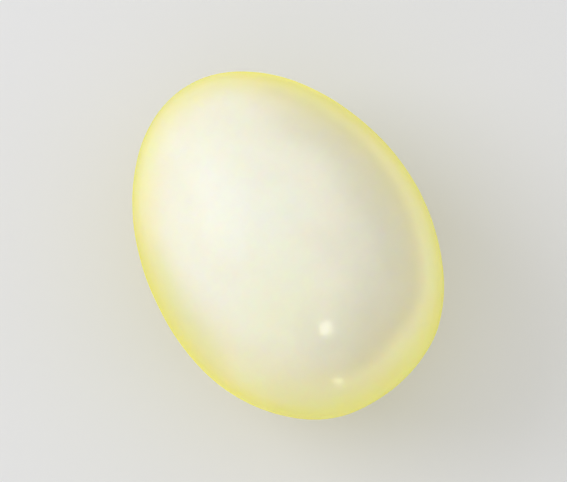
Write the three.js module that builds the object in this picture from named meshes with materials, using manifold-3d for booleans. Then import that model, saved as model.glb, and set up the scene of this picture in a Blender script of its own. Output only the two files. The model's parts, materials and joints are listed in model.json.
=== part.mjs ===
// A peeled hard-boiled hen's egg, whole, lying on its side. Millimetres, +Z up.
//
// It is one solid. The long axis lies over X, with the blunt end towards +X. The origin is the middle of the
// small flat spot that the egg rests on, straight below its centre of mass. An egg that lies on a table
// leans on its pointed end, so its long axis is a few degrees off level, by the lean worked out below.
import * as THREE from "three";
import { mergeVertices } from "three/addons/utils/BufferGeometryUtils.js";
import Module from "manifold-3d";

// Driving dimensions.
const LENGTH = 55.5; // from tip to tip, before the hollow at the blunt end
const WIDTH = 42.2; // across the middle of the length, seen from above
const SQUAT = 0.985; // height over width, because the soft white settles a little on its side
const TAPER = 0.127; // how much wider the blunt half runs than the pointed half, from tip to tip
const REST_DEPTH = 0.3; // how far the underside is pressed flat by the egg's own weight
const SLAB_THICKNESS = 10; // of the block that cuts the flat spot
const FACET_SPLITS = 15; // cuts along each edge of the icosahedron that the surface starts from
const WELD = 1e-5; // corners closer than this are one corner

// Shallow hollows in the white. toward is the unit sphere's direction where each one lies in the egg's own
// frame, reach is how far its soft edge runs, and depth is how far its middle is pressed in.
const HOLLOWS = [
  { name: "air cell", toward: [0.93, 0.12, -0.345], reach: 13, depth: 1.1 },
  { name: "side pressed by a neighbour", toward: [-0.12, -0.93, 0.2], reach: 17, depth: 0.25 },
  { name: "slack belly", toward: [0.25, 0.8, -0.55], reach: 18, depth: 0.4 },
  { name: "thumb mark from peeling", toward: [-0.55, 0.62, -0.56], reach: 6, depth: 0.3 },
];

const HALF_LENGTH = LENGTH / 2;
const HALF_WIDTH = WIDTH / 2;
const HALF_HEIGHT = HALF_WIDTH * SQUAT;
const HALF_TAPER = TAPER / 2;

// The plain egg: an ellipsoid whose rings grow in a straight line from the pointed end to the blunt one.
// way is a direction of unit length, and the result is the point of the surface that it stands for.
function plainEgg(way) {
  const ring = 1 + HALF_TAPER * way.x;
  return new THREE.Vector3(HALF_LENGTH * way.x, HALF_WIDTH * ring * way.y, HALF_HEIGHT * ring * way.z);
}

// Presses every hollow into a point of the plain egg, each deepest in its middle and fading out at its reach.
const hollows = HOLLOWS.map(({ toward, reach, depth }) => {
  const way = new THREE.Vector3(...toward).normalize();
  return { middle: plainEgg(way), push: way.multiplyScalar(-depth), reach };
});

function pressed(point) {
  const moved = point.clone();
  for (const { middle, push, reach } of hollows) {
    const nearness = Math.max(0, 1 - point.distanceTo(middle) / reach);
    moved.addScaledVector(push, nearness * nearness * (3 - 2 * nearness));
  }
  return moved;
}

// Where the egg touches the table: the station along the axis, from -1 at the pointed tip to 1 at the blunt
// one, whose normal passes through the centre of mass. Nearer the pointed tip the normal passes it on one
// side, and nearer the blunt tip on the other, so halving the stretch between them finds it.
function restStation() {
  const centreOfMass = (HALF_LENGTH * TAPER) / (5 + HALF_TAPER ** 2);
  const missesBy = (station) => {
    const ring = 1 + HALF_TAPER * station;
    const swelling = ring * (HALF_TAPER * (1 - station ** 2) - station * ring);
    return HALF_LENGTH * station + (HALF_HEIGHT ** 2 / HALF_LENGTH) * swelling - centreOfMass;
  };
  let [low, high] = [-0.5, 0.5];
  while (high - low > WELD) {
    const middle = (low + high) / 2;
    if (missesBy(middle) < 0) low = middle;
    else high = middle;
  }
  return low;
}

// The point of contact, and the lean: the slope of the underside there, which lying flat turns level.
function restContact() {
  const station = restStation();
  const down = Math.sqrt(1 - station ** 2);
  const touch = plainEgg(new THREE.Vector3(station, 0, -down));
  const ring = 1 + HALF_TAPER * station;
  const slope = (HALF_HEIGHT / HALF_LENGTH) * (HALF_TAPER * down - (ring * station) / down);
  return { touch, lean: Math.atan(slope) };
}

// The egg's surface in its own frame, as a closed mesh of nearly equal triangles.
function eggSurface() {
  const ball = new THREE.IcosahedronGeometry(1, FACET_SPLITS);
  ball.deleteAttribute("normal");
  ball.deleteAttribute("uv");
  const geometry = mergeVertices(ball, WELD);
  const place = geometry.attributes.position;
  for (let i = 0; i < place.count; i += 1) {
    const way = new THREE.Vector3().fromBufferAttribute(place, i).normalize();
    place.setXYZ(i, ...pressed(plainEgg(way)));
  }
  return geometry;
}

// A slab turned to the egg's lean, whose top face lies REST_DEPTH above the point of contact.
function tableSlab({ touch, lean }) {
  const slab = new THREE.BoxGeometry(LENGTH, WIDTH, SLAB_THICKNESS);
  slab.deleteAttribute("normal");
  slab.deleteAttribute("uv");
  slab.translate(0, 0, REST_DEPTH - SLAB_THICKNESS / 2);
  slab.rotateY(lean);
  slab.translate(...touch);
  return mergeVertices(slab, WELD);
}

const wasm = await Module();
wasm.setup();

function solidOf(geometry) {
  return new wasm.Manifold(
    new wasm.Mesh({
      numProp: 3,
      vertProperties: new Float32Array(geometry.attributes.position.array),
      triVerts: new Uint32Array(geometry.index.array),
    }),
  );
}

function geometryOf(solid) {
  const { vertProperties, triVerts } = solid.getMesh();
  const geometry = new THREE.BufferGeometry();
  geometry.setAttribute("position", new THREE.BufferAttribute(vertProperties, 3));
  geometry.setIndex(new THREE.BufferAttribute(triVerts, 1));
  geometry.computeVertexNormals();
  return geometry;
}

// The firm, wet white of the egg.
function whiteMaterial() {
  return new THREE.MeshStandardMaterial({ color: 0xefeed8, roughness: 0.3, metalness: 0 });
}

function makeEgg() {
  const contact = restContact();
  const solid = solidOf(eggSurface()).subtract(solidOf(tableSlab(contact)));
  const egg = new THREE.Mesh(geometryOf(solid), whiteMaterial());
  egg.name = "egg_white";

  // Turned level and set down, so that the middle of the flat spot is at the origin.
  egg.rotation.y = -contact.lean;
  const flatMiddle = contact.touch.applyAxisAngle(new THREE.Vector3(0, 1, 0), -contact.lean);
  egg.position.copy(flatMiddle).negate();
  egg.position.z -= REST_DEPTH;
  return egg;
}

const group = new THREE.Group();
group.name = "hard_boiled_egg";
group.add(makeEgg());

export default group;
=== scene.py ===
"""A peeled hard-boiled hen's egg on a pale table, in soft studio light. Metres, +Z up.

The egg lies on its side with its blunt end towards +X, and its centre of mass is over the origin. The
sections follow the making of the picture: the egg, the table under it, the camera, and the light.
"""
import json
import math
import random

import bmesh
import bpy
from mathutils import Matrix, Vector

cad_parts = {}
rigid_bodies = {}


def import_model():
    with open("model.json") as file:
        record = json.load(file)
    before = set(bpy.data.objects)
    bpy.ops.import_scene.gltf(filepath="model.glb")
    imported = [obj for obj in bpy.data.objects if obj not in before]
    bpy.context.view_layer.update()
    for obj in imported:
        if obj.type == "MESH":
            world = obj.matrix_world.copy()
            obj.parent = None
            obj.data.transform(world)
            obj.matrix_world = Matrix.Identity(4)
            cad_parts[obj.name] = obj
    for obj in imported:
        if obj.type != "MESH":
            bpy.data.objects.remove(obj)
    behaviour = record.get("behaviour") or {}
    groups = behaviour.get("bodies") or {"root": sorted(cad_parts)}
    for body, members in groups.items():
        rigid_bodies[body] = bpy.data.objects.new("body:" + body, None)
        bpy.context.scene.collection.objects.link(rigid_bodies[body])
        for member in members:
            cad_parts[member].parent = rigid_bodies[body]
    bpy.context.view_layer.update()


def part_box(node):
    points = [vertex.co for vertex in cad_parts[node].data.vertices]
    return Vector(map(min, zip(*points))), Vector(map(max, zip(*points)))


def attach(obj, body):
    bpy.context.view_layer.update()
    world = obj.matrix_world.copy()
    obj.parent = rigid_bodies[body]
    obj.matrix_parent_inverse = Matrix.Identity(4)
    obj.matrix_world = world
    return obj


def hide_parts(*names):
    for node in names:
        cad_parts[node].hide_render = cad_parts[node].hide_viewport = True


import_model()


# ---- The egg ----
# The cooked white of a hen's egg, out of its shell: one firm, wet and slightly see-through body, with the
# yolk out of sight inside. It starts as a ball, is stretched and tapered to an egg, pressed in where the
# air cell, its neighbours and a thumb left soft hollows, and set down on a small flat spot.

EGG_LENGTH = 0.0555  # from tip to tip, before the hollow at the blunt end
EGG_WIDTH = 0.0422
EGG_SQUAT = 0.985  # height over width
EGG_TAPER = 0.127  # how much wider the blunt half runs than the pointed half
EGG_LEAN = math.radians(3.7)  # an egg on a table leans on to its pointed end
EGG_SPLITS = 7  # of the ball's faces, which leaves edges of about half a millimetre

# Each hollow: the way it faces from the middle of the egg, how far its soft edge runs, and its depth.
EGG_HOLLOWS = {
    "air cell": ((0.93, 0.12, -0.345), 0.013, 0.0011),
    "side pressed by a neighbour": ((-0.12, -0.93, 0.2), 0.017, 0.00025),
    "slack belly": ((0.25, 0.8, -0.55), 0.018, 0.0004),
    "thumb mark from peeling": ((-0.55, 0.62, -0.56), 0.006, 0.0003),
}


def point_facing(verts, way):
    """The egg's vertex that faces furthest along a way, with the egg shrunk back to a ball."""
    stretch = Vector((EGG_LENGTH, EGG_WIDTH, EGG_WIDTH * EGG_SQUAT)) / 2
    facing = Vector(way).normalized()
    return max(
        verts,
        key=lambda v: facing.dot(Vector(c / s for c, s in zip(v.co, stretch)).normalized()),
    )


def press_in(piece, vert_index, push, reach):
    """Moves one vertex by push, in edit mode, and draws the skin within reach after it in a soft dish."""
    bpy.ops.mesh.select_all(action="DESELECT")
    skin = bmesh.from_edit_mesh(piece.data)
    skin.verts.ensure_lookup_table()
    skin.verts[vert_index].select = True
    skin.select_flush_mode()
    bmesh.update_edit_mesh(piece.data)
    bpy.ops.transform.translate(
        value=push,
        use_proportional_edit=True,
        proportional_edit_falloff="SMOOTH",
        proportional_size=reach,
    )


bpy.ops.object.select_all(action="DESELECT")
bpy.ops.mesh.primitive_ico_sphere_add(subdivisions=EGG_SPLITS, radius=EGG_WIDTH / 2)
egg = bpy.context.object
egg.name = "egg"
egg.data.name = "egg"

bpy.ops.object.mode_set(mode="EDIT")
bpy.ops.transform.resize(value=(EGG_LENGTH / EGG_WIDTH, 1, EGG_SQUAT))
bpy.ops.object.mode_set(mode="OBJECT")

taper = egg.modifiers.new("taper", "SIMPLE_DEFORM")
taper.deform_method = "TAPER"
taper.deform_axis = "X"
taper.factor = EGG_TAPER
bpy.ops.object.modifier_apply(modifier=taper.name)

bpy.ops.object.mode_set(mode="EDIT")
for hollow_way, hollow_reach, depth in EGG_HOLLOWS.values():
    deepest = point_facing(bmesh.from_edit_mesh(egg.data).verts, hollow_way)
    press_in(egg, deepest.index, Vector(hollow_way).normalized() * -depth, hollow_reach)
bpy.ops.object.mode_set(mode="OBJECT")

# The white cooks against its skin and comes out faintly uneven, by a tenth of a millimetre.
# Each kind of wave: the size of one, and its height from trough to crest.
EGG_WAVES = {"broad": (0.011, 0.00022), "narrow": (0.0038, 0.00005)}
WAVE_LAYERS = 1  # how many times finer waves are laid over them

for wave_name, (wave_size, wave_height) in EGG_WAVES.items():
    waves = bpy.data.textures.new(wave_name, "CLOUDS")
    waves.noise_scale = wave_size
    waves.noise_depth = WAVE_LAYERS
    uneven = egg.modifiers.new(wave_name, "DISPLACE")
    uneven.texture = waves
    uneven.texture_coords = "LOCAL"
    uneven.strength = wave_height
    bpy.ops.object.modifier_apply(modifier=uneven.name)

# Leant over, and set down in the middle of the space that the solid egg takes, with its top as high.
bpy.ops.object.mode_set(mode="EDIT")
bpy.ops.mesh.select_all(action="SELECT")
bpy.ops.transform.rotate(value=EGG_LEAN, orient_axis="Y", center_override=(0, 0, 0))
bpy.ops.object.mode_set(mode="OBJECT")
solid_low, solid_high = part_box("egg_white")
own_low = Vector(min(v.co[i] for v in egg.data.vertices) for i in range(3))
own_high = Vector(max(v.co[i] for v in egg.data.vertices) for i in range(3))
move = (solid_low + solid_high - own_low - own_high) / 2
move.z = solid_high.z - own_high.z
bpy.ops.object.mode_set(mode="EDIT")
bpy.ops.transform.translate(value=move)

# The egg's own weight presses what would be under the table flat against it, with a soft edge round it.
SPOT_EDGE = 0.0004  # height above the table up to which the edge is softened
SPOT_SMOOTHING = 0.5  # how far each smoothing moves a point towards its neighbours
SPOT_SMOOTHINGS = 4

bpy.ops.mesh.select_all(action="DESELECT")
skin = bmesh.from_edit_mesh(egg.data)
for v in skin.verts:
    v.select = v.co.z < 0
skin.select_flush_mode()
bmesh.update_edit_mesh(egg.data)
bpy.ops.transform.resize(value=(1, 1, 0), center_override=(0, 0, 0))
skin = bmesh.from_edit_mesh(egg.data)
for v in skin.verts:
    v.select = v.co.z < SPOT_EDGE
skin.select_flush_mode()
bmesh.update_edit_mesh(egg.data)
bpy.ops.mesh.vertices_smooth(factor=SPOT_SMOOTHING, repeat=SPOT_SMOOTHINGS)

# Tiny pinholes where bubbles met the skin, most of them round the blunt half and none on the upper side.
PINHOLES = 12
PINHOLE_SIZES = (0.00045, 0.0009)  # smallest and largest radius
PINHOLE_STEEPNESS = 0.32  # depth over radius
PINHOLE_STATIONS = (-0.8, 0.9, 0.55)  # lowest, highest and likeliest, from -1 pointed to 1 blunt
PINHOLE_HEIGHTS = (0.003, 0.021)  # lowest and highest middle
PINHOLE_SEED = 11
FINER_REACH = 1.3  # how far the skin is cut finer round it, over its radius
FINER_CUTS = 2

ball_middle = Vector((0, 0, EGG_WIDTH / 2))
lowest_hole, highest_hole = PINHOLE_HEIGHTS
chance = random.Random(PINHOLE_SEED)
made = 0
while made < PINHOLES:
    around = chance.uniform(0, math.tau)
    along = chance.triangular(*PINHOLE_STATIONS)
    radius = chance.uniform(*PINHOLE_SIZES)
    across = math.sqrt(1 - along**2)
    hole_way = Vector((along, across * math.cos(around), across * math.sin(around)))
    skin = bmesh.from_edit_mesh(egg.data)
    bubble = max(skin.verts, key=lambda v: (v.co - ball_middle).normalized().dot(hole_way))
    if not lowest_hole < bubble.co.z < highest_hole:
        continue
    hole_middle = bubble.co.copy()
    inward = -bubble.normal.copy()
    for face in skin.faces:
        face.select = (face.calc_center_median() - hole_middle).length < radius * FINER_REACH
    skin.select_flush(False)
    bmesh.update_edit_mesh(egg.data)
    bpy.ops.mesh.subdivide(number_cuts=FINER_CUTS)
    bpy.ops.mesh.select_more()
    bpy.ops.mesh.quads_convert_to_tris()
    skin = bmesh.from_edit_mesh(egg.data)
    skin.verts.index_update()
    nearest = min(skin.verts, key=lambda v: (v.co - hole_middle).length)
    press_in(egg, nearest.index, inward * radius * PINHOLE_STEEPNESS, radius)
    made += 1
bpy.ops.object.mode_set(mode="OBJECT")
bpy.ops.object.shade_smooth()

# The finish. The white is milky, so light goes a few millimetres into it, and a film of water makes it
# glossy. Its crown is ivory, and further down the brine that the egg lay in has tinted it lemon, with
# painted shade and painted light laid into those colours.

# What is the same all over, by the names of the shader's sockets.
EGG_FINISH = {
    "IOR": 1.34,
    "Specular IOR Level": 0.22,
    "Specular Tint": (0.5, 0.55, 1.0, 1),
    "Subsurface Weight": 1.0,
    "Subsurface Radius": (1.0, 0.8, 0.45),  # red light goes furthest in
    "Subsurface Scale": 0.0022,  # and this is how far
    "Subsurface Anisotropy": 0.6,
    "Coat Weight": 0.18,  # the film of water
    "Coat Roughness": 0.10,
    "Coat IOR": 1.33,
    "Sheen Weight": 1.0,  # the lemon glow round its edge
    "Sheen Roughness": 0.5,
    "Sheen Tint": (1.0, 0.93, 0.05, 1),
}

# Each colour of the white, and the height up the egg at which it is reached. The band from about 31 to 39
# mm is darker, a painted shade, and the lemon under it is brighter, a painted light for its glowing rim.
EGG_TINTS_AND_SHADE = (
    (0.0120, (0.970, 0.885, 0.400, 1)),
    (0.0220, (0.985, 0.880, 0.300, 1)),
    (0.0255, (0.995, 0.880, 0.405, 1)),
    (0.0285, (0.990, 0.893, 0.550, 1)),
    (0.0310, (0.926, 0.885, 0.605, 1)),
    (0.0340, (0.916, 0.887, 0.763, 1)),
    (0.0370, (0.917, 0.911, 0.806, 1)),
    (0.0390, (0.920, 0.899, 0.788, 1)),
    (0.0410, (1.000, 0.930, 0.818, 1)),
)
BRINE_LEAN = math.radians(5.6)  # the egg lay this far from its present rest when the brine tinted it
BRINE_LEAN_WAY = math.radians(231)  # towards this side, counted from +X

# The tints wander up and down, in small waves and in a broad, slow drift. Each soft random pattern, here
# and below, has the size of its blotches, the finer layers over them, and how strong those layers are.
TINT_WANDER = 0.0010  # up or down
TINT_WANDER_NOISE = {"size": 0.009, "detail": 2}
TINT_DRIFT = 0.0033
TINT_DRIFT_NOISE = {"size": 0.022, "detail": 1, "seed": 1257}

# Faint clouds in the white. A stain's colour is how much of the light it leaves.
CLOUD_NOISE = {"size": 0.007, "detail": 3}
CLOUD_SHADES = (0.35, 0.65)  # the shades of the pattern where a cloud is full, and where it has ended
CLOUD_STAIN = (0.975, 0.975, 0.975, 1)

# A painted shade: a duller, greyer band on the side away from the window, just over the lemon.
PAINTED_SHADE_FOOT = (0.0290, 0.0325)  # the heights where it begins, and is at its full strength
PAINTED_SHADE_HEAD = (0.0350, 0.0400)  # and where it begins to fade, and has ended
PAINTED_SHADE_SIDE = math.radians(70)  # the side that it is on, counted from +X
PAINTED_SHADE_REACH = (-0.004, 0.010)  # how far out on that side it begins, and is at its full strength
PAINTED_SHADE_COLOUR = (0.88, 0.87, 0.82, 1)

# The deepest lemon along both flanks, partly a lemon stain and partly a painted shade that darkens them.
# Each flank's side, counted from +X, and how far out on it this begins, and is at its full strength.
DEEP_LEMON_SHADED_FLANKS = (
    (math.radians(269), (0.0150, 0.0208)),
    (math.radians(120), (0.0160, 0.0218)),
)
DEEP_LEMON_AND_SHADE = (0.828, 0.882, 0.735, 1)

# A creamy patch over the blunt half.
CREAM_MIDDLE = (0.0120, -0.0065, 0.0380)
CREAM_REACH = 0.014
CREAM_STAIN = (1, 1, 0.925, 1)

# The film of water is thicker in some patches and thinner in others.
WET_NOISE = {"size": 0.0025, "detail": 3, "roughness": 0.6}
WET_SHADES = (0.3, 0.7)  # the shades of the pattern in the wettest and the driest patches
WET_ROUGHNESS = (0.16, 0.24)  # and how rough the white is in them

# The print that the skin under the shell has left.
GRAIN_NOISE = {"size": 0.0007, "detail": 3, "roughness": 0.55}
GRAIN_DEPTH = 0.00003
GRAIN_STRENGTH = 0.5

white = bpy.data.materials.new("egg white")
white.use_nodes = True
nodes = white.node_tree.nodes
links = white.node_tree.links
white_shader = nodes["Principled BSDF"]
whereabouts = nodes.new("ShaderNodeTexCoord").outputs["Object"]


def set_finish(shader, finish):
    """Sets what is the same all over a finish, by the names of the shader's sockets."""
    for socket, value in finish.items():
        shader.inputs[socket].default_value = value


def add_noise(size, detail, roughness=0.5, seed=None):
    """Soft random shades that follow the object, with blotches of this size in metres."""
    noise = nodes.new("ShaderNodeTexNoise")
    if seed is not None:
        noise.noise_dimensions = "4D"
        noise.inputs["W"].default_value = seed
    noise.inputs["Scale"].default_value = 1 / size
    noise.inputs["Detail"].default_value = detail
    noise.inputs["Roughness"].default_value = roughness
    links.new(whereabouts, noise.inputs["Vector"])
    return noise.outputs["Fac"]


def add_math(operation, *values):
    """Several values made into one, by an operation such as adding them or taking the largest."""
    total = values[0]
    for value in values[1:]:
        step = nodes.new("ShaderNodeMath")
        step.operation = operation
        links.new(total, step.inputs[0])
        links.new(value, step.inputs[1])
        total = step.outputs["Value"]
    return total


def add_range(value, low, high, to_low, to_high, course="LINEAR"):
    """A value between two limits, made to run between two others."""
    ramp = nodes.new("ShaderNodeMapRange")
    ramp.interpolation_type = course
    links.new(value, ramp.inputs["Value"])
    ramp.inputs["From Min"].default_value = low
    ramp.inputs["From Max"].default_value = high
    ramp.inputs["To Min"].default_value = to_low
    ramp.inputs["To Max"].default_value = to_high
    return ramp.outputs["Result"]


def fade_in(value, low, high):
    """0 below two limits and 1 above them, with a soft rise between."""
    return add_range(value, low, high, 0, 1, "SMOOTHSTEP")


def fade_out(value, low, high):
    """1 below two limits and 0 above them, with a soft fall between."""
    return add_range(value, low, high, 1, 0, "SMOOTHSTEP")


def level_way(side):
    """The level way towards a side, counted from +X."""
    return Vector((math.cos(side), math.sin(side), 0))


def add_distance(way):
    """How far along a way a point of the egg lies."""
    along_way = nodes.new("ShaderNodeVectorMath")
    along_way.operation = "DOT_PRODUCT"
    links.new(whereabouts, along_way.inputs[0])
    along_way.inputs[1].default_value = way
    return along_way.outputs["Value"]


def add_nearness(middle, reach):
    """1 in the middle of a round patch of the egg, and fading out to 0 at its reach."""
    apart = nodes.new("ShaderNodeVectorMath")
    apart.operation = "DISTANCE"
    links.new(whereabouts, apart.inputs[0])
    apart.inputs[1].default_value = middle
    return fade_out(apart.outputs["Value"], 0, reach)


def add_stain(colour, amount, stain):
    """A colour with a stain over it: all of the stain where its amount is 1, and none where that is 0."""
    mix = nodes.new("ShaderNodeMix")
    mix.data_type = "RGBA"
    mix.blend_type = "MULTIPLY"
    links.new(amount, mix.inputs["Factor"])
    links.new(colour, mix.inputs["A"])
    mix.inputs["B"].default_value = stain
    return mix.outputs["Result"]


set_finish(white_shader, EGG_FINISH)

# The tints with their painted shade and light, by the height over the leaning level of the brine.
brine_way = level_way(BRINE_LEAN_WAY) * math.sin(BRINE_LEAN)
brine_way.z = math.cos(BRINE_LEAN)
wander = add_range(add_noise(**TINT_WANDER_NOISE), 0, 1, -TINT_WANDER, TINT_WANDER)
drift = add_range(add_noise(**TINT_DRIFT_NOISE), 0, 1, -TINT_DRIFT, TINT_DRIFT)
level = add_math("ADD", add_distance(brine_way), wander, drift)

lowest_tint = EGG_TINTS_AND_SHADE[0][0]
highest_tint = EGG_TINTS_AND_SHADE[-1][0]
tint = nodes.new("ShaderNodeValToRGB")
tint.color_ramp.interpolation = "B_SPLINE"
links.new(add_range(level, lowest_tint, highest_tint, 0, 1), tint.inputs["Fac"])
stops = tint.color_ramp.elements
while len(stops) < len(EGG_TINTS_AND_SHADE):
    stops.new(1)
for stop, (height, tint_colour) in zip(stops, EGG_TINTS_AND_SHADE):
    stop.position = (height - lowest_tint) / (highest_tint - lowest_tint)
    stop.color = tint_colour

# The stains over them, with painted shade: the duller band on the side away from the window, and the
# darker deep lemon on the flanks.
cloudiness = fade_out(add_noise(**CLOUD_NOISE), *CLOUD_SHADES)
painted_shade = add_math(
    "MULTIPLY",
    fade_in(level, *PAINTED_SHADE_FOOT),
    fade_out(level, *PAINTED_SHADE_HEAD),
    fade_in(add_distance(level_way(PAINTED_SHADE_SIDE)), *PAINTED_SHADE_REACH),
)
flanks = [fade_in(add_distance(level_way(side)), *reach) for side, reach in DEEP_LEMON_SHADED_FLANKS]
deep_lemon_and_shade = add_math("MAXIMUM", *flanks)
creaminess = add_nearness(CREAM_MIDDLE, CREAM_REACH)
stained = add_stain(tint.outputs["Color"], cloudiness, CLOUD_STAIN)
stained = add_stain(stained, painted_shade, PAINTED_SHADE_COLOUR)
stained = add_stain(stained, deep_lemon_and_shade, DEEP_LEMON_AND_SHADE)
stained = add_stain(stained, creaminess, CREAM_STAIN)
links.new(stained, white_shader.inputs["Base Color"])

wetness = add_range(add_noise(**WET_NOISE), *WET_SHADES, *WET_ROUGHNESS)
links.new(wetness, white_shader.inputs["Roughness"])

grain = nodes.new("ShaderNodeBump")
grain.inputs["Distance"].default_value = GRAIN_DEPTH
grain.inputs["Strength"].default_value = GRAIN_STRENGTH
links.new(add_noise(**GRAIN_NOISE), grain.inputs["Height"])
links.new(grain.outputs["Normal"], white_shader.inputs["Normal"])

egg.data.materials.append(white)
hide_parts("egg_white")
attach(egg, "root")


# ---- The table ----
# A table top with a plain matt paint, in a grey so pale that it is nearly white but darker than the egg.
# It is one flat disc, far wider than the view, and its face is at height 0.

TABLE_RADIUS = 3.0
TABLE_CORNERS = 96
TABLE_FINISH = {
    "Base Color": (0.80, 0.80, 0.795, 1),
    "Roughness": 0.7,
    "Specular IOR Level": 0.0,
}

bpy.ops.object.select_all(action="DESELECT")
bpy.ops.mesh.primitive_circle_add(vertices=TABLE_CORNERS, radius=TABLE_RADIUS, fill_type="NGON")
table_top = bpy.context.object
table_top.name = "table_top"
paint = bpy.data.materials.new("table paint")
paint.use_nodes = True
set_finish(paint.node_tree.nodes["Principled BSDF"], TABLE_FINISH)
table_top.data.materials.append(paint)


# ---- The camera ----
# It looks down on the egg from almost straight above, with a long lens, and stands so that the blunt end
# comes out at the lower right of the view.

CAMERA_AZIMUTH = math.radians(58.4)
CAMERA_ELEVATION = math.radians(80)
CAMERA_LENS = 180
VIEW_WIDTH = 0.084  # at the egg

camera_back = Vector(
    (
        math.sin(CAMERA_AZIMUTH) * math.cos(CAMERA_ELEVATION),
        -math.cos(CAMERA_AZIMUTH) * math.cos(CAMERA_ELEVATION),
        math.sin(CAMERA_ELEVATION),
    )
)
camera_turn = (-camera_back).to_track_quat("-Z", "Y")
camera_right = camera_turn @ Vector((1, 0, 0))
camera_up = camera_turn @ Vector((0, 1, 0))
egg_middle = (solid_low + solid_high) / 2

bpy.ops.object.camera_add()
camera = bpy.context.object
camera.data.lens = CAMERA_LENS
camera.rotation_mode = "QUATERNION"
camera.rotation_quaternion = camera_turn
camera_distance = VIEW_WIDTH * CAMERA_LENS / camera.data.sensor_width
camera.location = egg_middle + camera_back * camera_distance
bpy.context.scene.camera = camera


# ---- The light ----
# A large window to the left, a weak lamp low on the right that lights the rim of the egg, two small lamps
# that leave bright dots on the wet skin, and a pale room round it all. Each is placed as seen from the
# camera.

UP = 90  # degrees, counted anticlockwise from the right of the view
HOUR = 30  # degrees from one o'clock to the next
WINDOW = {"off_axis": 54, "clock": 9.8, "far": 0.6, "size": 0.4}
ROOM_BRIGHTNESS = 0.76


def add_lamp(name, off_axis, clock, far, size, watts, colour=(1, 1, 1)):
    """A square lamp that shines on the egg: degrees away from the camera, and o'clock in the view."""
    turn = math.radians(UP - clock * HOUR)
    sideways = camera_right * math.cos(turn) + camera_up * math.sin(turn)
    tilt = math.radians(off_axis)
    lamp_way = camera_back * math.cos(tilt) + sideways * math.sin(tilt)
    bpy.ops.object.light_add(type="AREA", location=egg_middle + lamp_way * far)
    lamp = bpy.context.object
    lamp.name = name
    lamp.data.size = size
    lamp.data.energy = watts
    lamp.data.color = colour
    lamp.rotation_mode = "QUATERNION"
    lamp.rotation_quaternion = lamp_way.to_track_quat("Z", "Y")
    lamp.visible_camera = False
    return lamp


add_lamp("window", **WINDOW, watts=1.10, colour=(0.975, 0.985, 1.10))

# The window's reflection in the wet skin is bluer than its light.
pane = add_lamp("window pane", **WINDOW, watts=0.68, colour=(0.8, 0.88, 1.3))
pane.visible_diffuse = False

# The rim lamp leaves no dot on the skin.
rim_lamp = add_lamp("rim lamp", off_axis=82, clock=3.2, far=0.4, size=0.12, watts=0.12)
rim_lamp.visible_glossy = False

# The small lamps only leave their dots, and don't light the egg or the table.
dot_lamp = add_lamp(
    "small lamp", off_axis=38.7, clock=5.28, far=0.8, size=0.12, watts=1.45, colour=(1, 0.97, 0.57)
)
dot_lamp.visible_diffuse = False
low_dot_lamp = add_lamp(
    "low small lamp", off_axis=83.1, clock=5.47, far=0.15, size=0.012, watts=0.011, colour=(1, 0.97, 0.45)
)
low_dot_lamp.visible_diffuse = False

room = bpy.data.worlds.new("room")
bpy.context.scene.world = room
room.use_nodes = True
background = room.node_tree.nodes["Background"]
background.inputs["Color"].default_value = (1, 1, 1, 1)
background.inputs["Strength"].default_value = ROOM_BRIGHTNESS

bpy.context.scene.view_settings.view_transform = "Standard"
